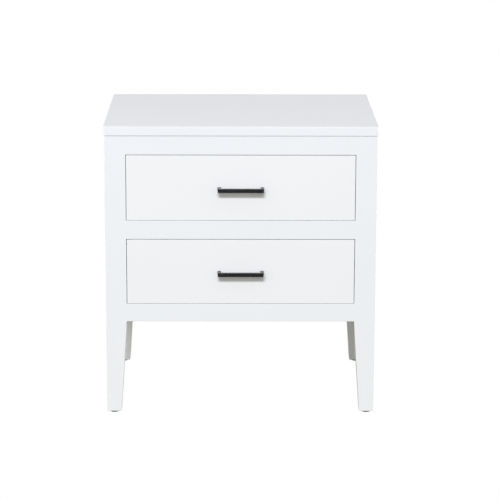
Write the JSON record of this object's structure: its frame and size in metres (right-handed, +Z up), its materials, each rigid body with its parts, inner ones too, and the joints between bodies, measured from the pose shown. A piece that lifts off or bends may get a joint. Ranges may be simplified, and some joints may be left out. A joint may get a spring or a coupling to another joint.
{
  "type": "nightstand with drawers",
  "caption": "White nightstand on square tapered legs with inset drawers, black bow handles and full-extension ball-bearing slides.",
  "frame": {"origin": "on the floor, under the middle of the overall box with the handles included", "axes": "+X to the right seen from the front, +Y from the front to the back, +Z up"},
  "size_m": [0.6, 0.47, 0.65],
  "materials": {
    "white_paint": "solid wood with smooth satin white paint",
    "painted_board": "thin fibreboard with a flat white coat",
    "birch": "clear-lacquered birch, fine straight grain",
    "black_metal": "satin black coating on cast zinc",
    "zinc_steel": "bright zinc-plated rolled steel",
    "glide_plastic": "dark moulded nylon"
  },
  "bodies": {
    "case": {"top_panel": "white_paint", "rail_front_bottom": "white_paint", "rail_front_middle": "white_paint", "rail_front_top": "white_paint", "rail_back_bottom": "white_paint", "rail_back_top": "white_paint", "side_panel_left": "white_paint", "side_panel_right": "white_paint", "back_panel": "painted_board", "bottom_panel": "painted_board", "leg_front_left": "white_paint", "foot_glide_front_left": "glide_plastic", "leg_front_right": "white_paint", "foot_glide_front_right": "glide_plastic", "leg_back_left": "white_paint", "foot_glide_back_left": "glide_plastic", "leg_back_right": "white_paint", "foot_glide_back_right": "glide_plastic", "lower_slide_mount_left": "birch", "lower_slide_cabinet_left": "zinc_steel", "lower_slide_mount_right": "birch", "lower_slide_cabinet_right": "zinc_steel", "upper_slide_mount_left": "birch", "upper_slide_cabinet_left": "zinc_steel", "upper_slide_mount_right": "birch", "upper_slide_cabinet_right": "zinc_steel"},
    "lower_drawer": {"lower_drawer_front": "white_paint", "lower_drawer_box_front": "birch", "lower_drawer_box_back": "birch", "lower_drawer_floor": "birch", "lower_handle": "black_metal", "lower_drawer_side_left": "birch", "lower_handle_screw_left": "zinc_steel", "lower_slide_drawer_left": "zinc_steel", "lower_drawer_side_right": "birch", "lower_handle_screw_right": "zinc_steel", "lower_slide_drawer_right": "zinc_steel"},
    "lower_slide_middle_left_body": {"lower_slide_middle_left": "zinc_steel"},
    "lower_outer_ball_cage_left_body": {"lower_outer_ball_cage_left": "zinc_steel"},
    "lower_inner_ball_cage_left_body": {"lower_inner_ball_cage_left": "zinc_steel"},
    "lower_slide_middle_right_body": {"lower_slide_middle_right": "zinc_steel"},
    "lower_outer_ball_cage_right_body": {"lower_outer_ball_cage_right": "zinc_steel"},
    "lower_inner_ball_cage_right_body": {"lower_inner_ball_cage_right": "zinc_steel"},
    "upper_drawer": {"upper_drawer_front": "white_paint", "upper_drawer_box_front": "birch", "upper_drawer_box_back": "birch", "upper_drawer_floor": "birch", "upper_handle": "black_metal", "upper_drawer_side_left": "birch", "upper_handle_screw_left": "zinc_steel", "upper_slide_drawer_left": "zinc_steel", "upper_drawer_side_right": "birch", "upper_handle_screw_right": "zinc_steel", "upper_slide_drawer_right": "zinc_steel"},
    "upper_slide_middle_left_body": {"upper_slide_middle_left": "zinc_steel"},
    "upper_outer_ball_cage_left_body": {"upper_outer_ball_cage_left": "zinc_steel"},
    "upper_inner_ball_cage_left_body": {"upper_inner_ball_cage_left": "zinc_steel"},
    "upper_slide_middle_right_body": {"upper_slide_middle_right": "zinc_steel"},
    "upper_outer_ball_cage_right_body": {"upper_outer_ball_cage_right": "zinc_steel"},
    "upper_inner_ball_cage_right_body": {"upper_inner_ball_cage_right": "zinc_steel"}
  },
  "joints": [
    {"name": "lower_drawer_slide", "type": "slide", "parent": "case", "child": "lower_drawer", "axis": [0, -1, 0], "range_m": [0, 0.345]},
    {"name": "lower_slide_middle_left_travel", "type": "slide", "parent": "case", "child": "lower_slide_middle_left_body", "axis": [0, -1, 0], "range_m": [0, 0.1725]},
    {"name": "lower_outer_ball_cage_left_travel", "type": "slide", "parent": "case", "child": "lower_outer_ball_cage_left_body", "axis": [0, -1, 0], "range_m": [0, 0.08625]},
    {"name": "lower_inner_ball_cage_left_travel", "type": "slide", "parent": "case", "child": "lower_inner_ball_cage_left_body", "axis": [0, -1, 0], "range_m": [0, 0.25875]},
    {"name": "lower_slide_middle_right_travel", "type": "slide", "parent": "case", "child": "lower_slide_middle_right_body", "axis": [0, -1, 0], "range_m": [0, 0.1725]},
    {"name": "lower_outer_ball_cage_right_travel", "type": "slide", "parent": "case", "child": "lower_outer_ball_cage_right_body", "axis": [0, -1, 0], "range_m": [0, 0.08625]},
    {"name": "lower_inner_ball_cage_right_travel", "type": "slide", "parent": "case", "child": "lower_inner_ball_cage_right_body", "axis": [0, -1, 0], "range_m": [0, 0.25875]},
    {"name": "upper_drawer_slide", "type": "slide", "parent": "case", "child": "upper_drawer", "axis": [0, -1, 0], "range_m": [0, 0.345]},
    {"name": "upper_slide_middle_left_travel", "type": "slide", "parent": "case", "child": "upper_slide_middle_left_body", "axis": [0, -1, 0], "range_m": [0, 0.1725]},
    {"name": "upper_outer_ball_cage_left_travel", "type": "slide", "parent": "case", "child": "upper_outer_ball_cage_left_body", "axis": [0, -1, 0], "range_m": [0, 0.08625]},
    {"name": "upper_inner_ball_cage_left_travel", "type": "slide", "parent": "case", "child": "upper_inner_ball_cage_left_body", "axis": [0, -1, 0], "range_m": [0, 0.25875]},
    {"name": "upper_slide_middle_right_travel", "type": "slide", "parent": "case", "child": "upper_slide_middle_right_body", "axis": [0, -1, 0], "range_m": [0, 0.1725]},
    {"name": "upper_outer_ball_cage_right_travel", "type": "slide", "parent": "case", "child": "upper_outer_ball_cage_right_body", "axis": [0, -1, 0], "range_m": [0, 0.08625]},
    {"name": "upper_inner_ball_cage_right_travel", "type": "slide", "parent": "case", "child": "upper_inner_ball_cage_right_body", "axis": [0, -1, 0], "range_m": [0, 0.25875]}
  ],
  "couplings": [
    {"joint": "lower_slide_middle_left_travel", "follows": "lower_drawer_slide", "ratio": 0.5},
    {"joint": "lower_outer_ball_cage_left_travel", "follows": "lower_drawer_slide", "ratio": 0.25},
    {"joint": "lower_inner_ball_cage_left_travel", "follows": "lower_drawer_slide", "ratio": 0.75},
    {"joint": "lower_slide_middle_right_travel", "follows": "lower_drawer_slide", "ratio": 0.5},
    {"joint": "lower_outer_ball_cage_right_travel", "follows": "lower_drawer_slide", "ratio": 0.25},
    {"joint": "lower_inner_ball_cage_right_travel", "follows": "lower_drawer_slide", "ratio": 0.75},
    {"joint": "upper_slide_middle_left_travel", "follows": "upper_drawer_slide", "ratio": 0.5},
    {"joint": "upper_outer_ball_cage_left_travel", "follows": "upper_drawer_slide", "ratio": 0.25},
    {"joint": "upper_inner_ball_cage_left_travel", "follows": "upper_drawer_slide", "ratio": 0.75},
    {"joint": "upper_slide_middle_right_travel", "follows": "upper_drawer_slide", "ratio": 0.5},
    {"joint": "upper_outer_ball_cage_right_travel", "follows": "upper_drawer_slide", "ratio": 0.25},
    {"joint": "upper_inner_ball_cage_right_travel", "follows": "upper_drawer_slide", "ratio": 0.75}
  ]
}
